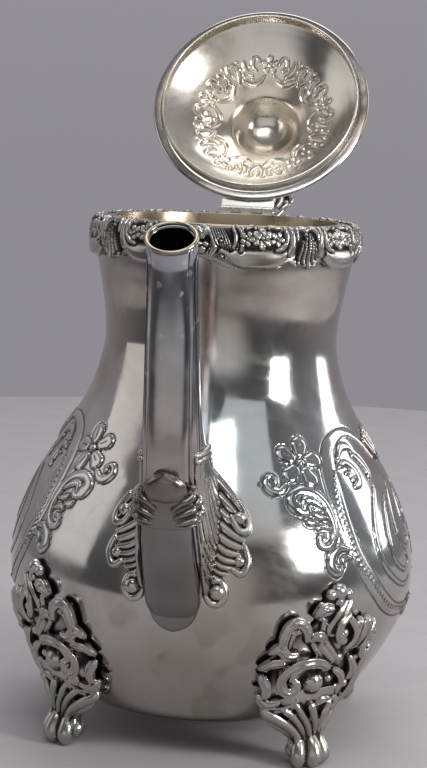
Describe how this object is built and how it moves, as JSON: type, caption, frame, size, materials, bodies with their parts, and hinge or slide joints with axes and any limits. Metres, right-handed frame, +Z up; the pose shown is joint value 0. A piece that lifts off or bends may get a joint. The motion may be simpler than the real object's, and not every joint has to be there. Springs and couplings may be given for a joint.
{
  "type": "footed coffee pot",
  "caption": "Pear-shaped silver-plate coffee pot on four cast scroll feet, with a front spout, a rear loop handle and a hinged domed lid standing open.",
  "frame": {"origin": "centre of the object's footprint on the surface it stands on, under the middle of its box", "axes": "+Z up; the spout points along -Y and the handle along +Y; +X is the viewer's right when facing the spout"},
  "size_m": [0.1472, 0.2344, 0.2652],
  "materials": {
    "polished_silver": "polished silver plate with fine scratches and light warm tarnish",
    "cast_silver": "cast silver plate, bright on the high points and blackened in the recesses",
    "warm_silver": "polished silver plate with a warm golden tint",
    "hinge_silver": "plain drawn hinge stock, silver plated",
    "insulator": "smooth bone-coloured insulator, slightly yellowed"
  },
  "bodies": {
    "pot": {"body_shell": "polished_silver", "base_disc": "polished_silver", "mouth_ring": "warm_silver", "rim_border": "cast_silver", "spout_shell": "polished_silver", "spout_lip": "warm_silver", "spout_drop": "polished_silver", "spout_clasp": "cast_silver", "spout_wing_left": "cast_silver", "spout_wing_right": "cast_silver", "foot_front_left": "cast_silver", "foot_front_right": "cast_silver", "foot_rear_right": "cast_silver", "foot_rear_left": "cast_silver", "handle_socket_upper": "polished_silver", "handle_grip": "polished_silver", "handle_socket_lower": "polished_silver", "insulator_upper": "insulator", "insulator_lower": "insulator", "thumb_leaf": "cast_silver", "insulator_pin_socket_upper": "polished_silver", "insulator_pin_grip_upper": "polished_silver", "insulator_pin_grip_lower": "polished_silver", "insulator_pin_socket_lower": "polished_silver", "hinge_leaf_body": "hinge_silver", "hinge_pin": "hinge_silver"},
    "lid": {"lid_dome": "warm_silver", "lid_edge": "polished_silver", "lid_bezel": "warm_silver", "finial_collar": "cast_silver", "finial_bud": "cast_silver", "hinge_leaf_lid": "hinge_silver"}
  },
  "joints": [
    {"name": "lid_hinge", "type": "hinge", "parent": "pot", "child": "lid", "pos_m": [0, 0.0391, 0.1876], "axis": [1, 0, 0], "range_deg": [0, 120]}
  ]
}
